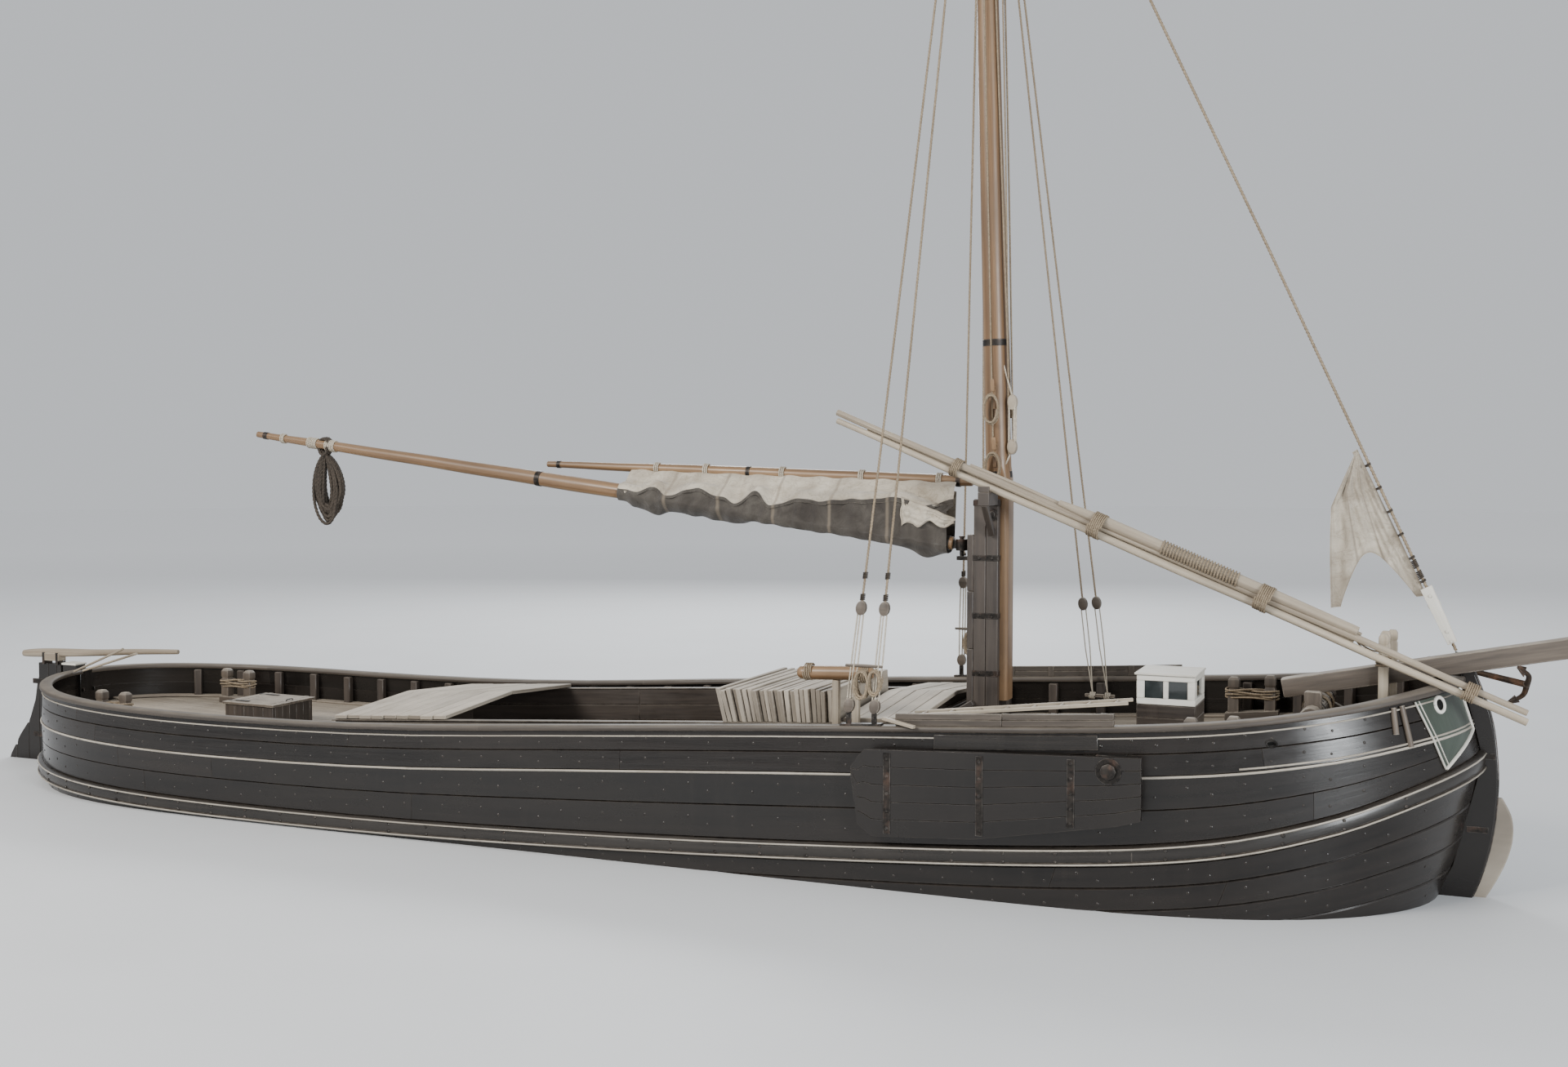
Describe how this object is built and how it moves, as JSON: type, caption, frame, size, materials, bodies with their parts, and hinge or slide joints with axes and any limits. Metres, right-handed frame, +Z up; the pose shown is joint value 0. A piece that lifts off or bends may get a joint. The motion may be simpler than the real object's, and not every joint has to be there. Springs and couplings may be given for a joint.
{
  "type": "sailing river barge",
  "caption": "Flat-bottomed wooden sailing river barge with bluff ends, open hold, lowering mast, swinging boom, leeboards, bowsprit and outboard rudder.",
  "frame": {"origin": "on the underside of the flat bottom, amidships on the centreline", "axes": "+X towards the bow, +Y to port, +Z up"},
  "size_m": [21.0792, 4.37, 14.0513],
  "materials": {
    "tarred_hull": "tarred oak planking, worn along the edges",
    "bottom": "tarred bottom planking",
    "wale": "heavy tarred wale",
    "rail": "weathered rail timber",
    "deck": "scrubbed deck planks",
    "coaming": "dark oiled oak",
    "hatch": "pale hatch boards",
    "white_paint": "old white paint on wood",
    "spar": "oiled pine spar",
    "canvas": "weathered sailcloth",
    "rope": "tarred hemp rope",
    "iron": "forged iron with rust",
    "fittings": "oak deck fittings"
  },
  "bodies": {
    "hull": {"side_planking_starboard": "tarred_hull", "side_planking_port": "tarred_hull", "stem": "tarred_hull", "sternpost": "tarred_hull", "fender_log": "tarred_hull", "bottom_planking": "bottom", "wale_starboard": "wale", "wale_port": "wale", "rail_starboard": "rail", "rail_port": "rail", "wash_board_starboard": "rail", "wash_board_port": "rail", "stem_fin": "rail", "side_deck_starboard": "deck", "side_deck_port": "deck", "afterdeck": "deck", "foredeck": "deck", "hold_floor": "deck", "fore_bulkhead": "deck", "aft_bulkhead": "deck", "hold_coaming": "coaming", "companion": "coaming", "tabernacle": "coaming", "hatch_boards_fore": "hatch", "hatch_boards_aft": "hatch", "hatch_board_stack": "hatch", "skylight": "white_paint", "bowsprit": "spar", "spar_bundle": "spar", "foresail": "canvas", "chainplate_starboard": "iron", "chainplate_port": "iron", "leeboard_bolt_starboard": "iron", "leeboard_bolt_port": "iron", "anchor": "iron", "bow_bitts": "fittings", "windlass_bitt_starboard": "fittings", "windlass_bitt_port": "fittings", "bollard_fore_starboard": "fittings", "bollard_fore_port": "fittings", "bollard_aft_starboard": "fittings", "bollard_aft_port": "fittings"},
    "mast": {"mast": "spar"},
    "forestay": {"forestay": "rope"},
    "shrouds": {"shrouds_starboard": "rope", "shrouds_port": "rope"},
    "boom": {"boom": "spar", "gaff": "spar", "furled_mainsail": "canvas"},
    "rudder": {"rudder": "tarred_hull", "tiller": "spar"},
    "leeboard_starboard": {"leeboard_starboard": "fittings"},
    "leeboard_port": {"leeboard_port": "fittings"},
    "windlass": {"windlass_barrel": "fittings"},
    "companion_lid": {"companion_lid": "hatch"}
  },
  "joints": [
    {"name": "mast_lower", "type": "hinge", "parent": "hull", "child": "mast", "pos_m": [4.04, 0, 4.5], "axis": [0, -1, 0], "range_deg": [0, 70], "deforming": ["foresail"]},
    {"name": "forestay_turn", "type": "hinge", "parent": "mast", "child": "forestay", "pos_m": [3.8, 0, 13.15], "axis": [0, -1, 0], "range_deg": [-24, 0], "deforming": ["forestay"]},
    {"name": "shroud_turn", "type": "hinge", "parent": "hull", "child": "shrouds", "pos_m": [3.21, 0, 2.64], "axis": [0, -1, 0], "range_deg": [0, 62], "deforming": ["shrouds_starboard", "shrouds_port"]},
    {"name": "boom_swing", "type": "hinge", "parent": "hull", "child": "boom", "pos_m": [3.64, 0, 4.17], "axis": [0, 0, -1], "range_deg": [-50, 50]},
    {"name": "rudder_turn", "type": "hinge", "parent": "hull", "child": "rudder", "pos_m": [-8.99, 0, 1.25], "axis": [0, 0, 1], "range_deg": [-35, 35]},
    {"name": "leeboard_starboard_lower", "type": "hinge", "parent": "hull", "child": "leeboard_starboard", "pos_m": [5.64, -2.11, 2.29], "axis": [0, -1, 0], "range_deg": [0, 65]},
    {"name": "leeboard_port_lower", "type": "hinge", "parent": "hull", "child": "leeboard_port", "pos_m": [5.64, 2.11, 2.29], "axis": [0, -1, 0], "range_deg": [0, 65]},
    {"name": "windlass_turn", "type": "hinge", "parent": "hull", "child": "windlass", "pos_m": [7.25, 0, 2.68], "axis": [0, 1, 0], "continuous": true},
    {"name": "companion_lid_open", "type": "hinge", "parent": "hull", "child": "companion_lid", "pos_m": [-5.925, 0, 1.975], "axis": [0, -1, 0], "range_deg": [0, 105]}
  ],
  "couplings": [
    {"joint": "forestay_turn", "follows": "mast_lower", "ratio": -0.323},
    {"joint": "shroud_turn", "follows": "mast_lower", "ratio": 0.863}
  ]
}
